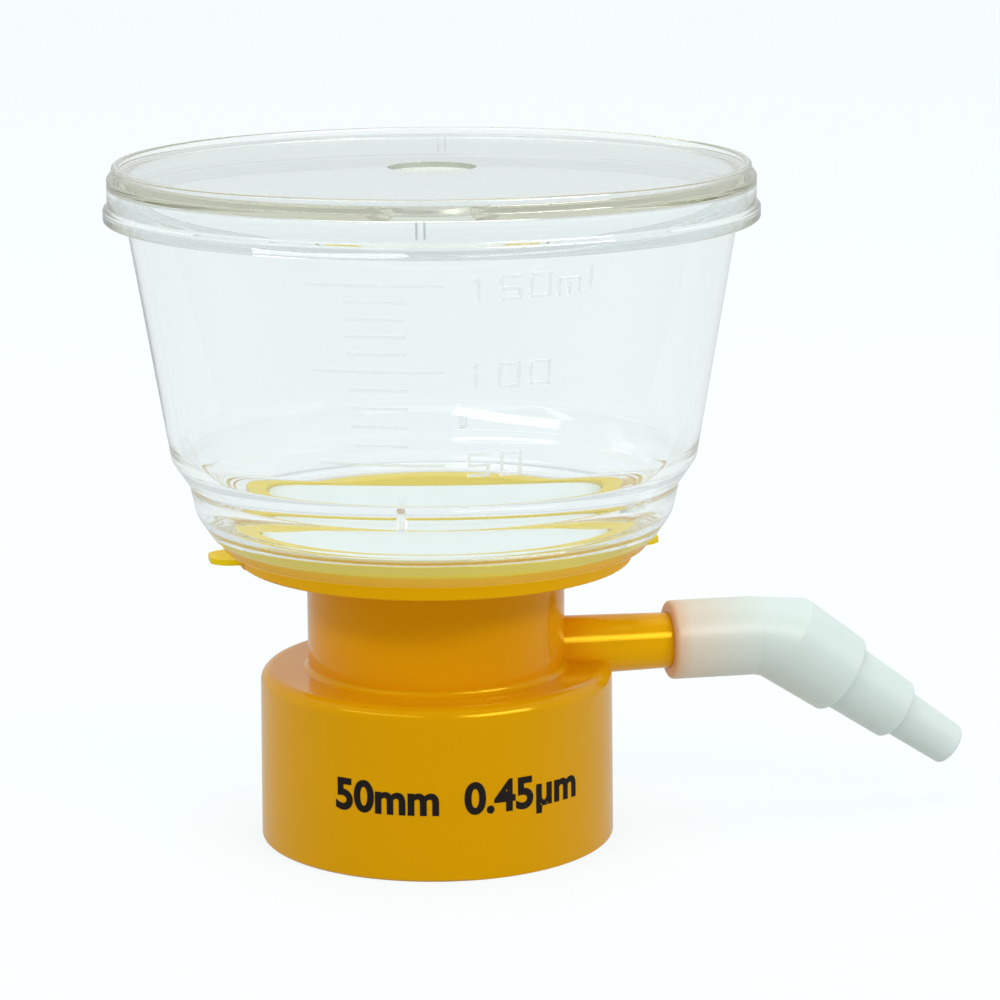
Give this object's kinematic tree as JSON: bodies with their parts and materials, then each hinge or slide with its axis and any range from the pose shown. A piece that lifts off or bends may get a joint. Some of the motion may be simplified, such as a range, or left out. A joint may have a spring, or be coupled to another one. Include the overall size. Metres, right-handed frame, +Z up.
{
  "type": "bottle-top vacuum filtration unit",
  "caption": "Bottle-top vacuum filter: clear graduated cup with loose lid on a yellow threaded base holding a white membrane, with a side port and an angled stepped hose adapter.",
  "frame": {"origin": "on the bottle axis, at the plane of the skirt's mouth", "axes": "+Z up through the cup, +X out along the vacuum port, +Y completes the right hand"},
  "size_m": [0.1229, 0.0902, 0.0955],
  "materials": {
    "base_plastic": "opaque yellow moulded polystyrene, semi-gloss",
    "gasket_rubber": "soft white silicone, matt",
    "membrane_film": "white microporous film, matt",
    "clear_plastic": "clear polystyrene, glossy, very faint olive tint in the edges",
    "adapter_plastic": "milky translucent polyethylene, satin"
  },
  "bodies": {
    "filter_unit": {"threaded_skirt": "base_plastic", "port_neck": "base_plastic", "filter_drum": "base_plastic", "bottle_gasket": "gasket_rubber", "membrane": "membrane_film", "filter_cup": "clear_plastic", "lid": "clear_plastic"},
    "adapter": {"hose_adapter": "adapter_plastic"}
  },
  "joints": [
    {"name": "adapter_swivel", "type": "hinge", "parent": "filter_unit", "child": "adapter", "pos_m": [0.0336, 0, 0.0258], "axis": [1, 0, 0], "continuous": true}
  ]
}
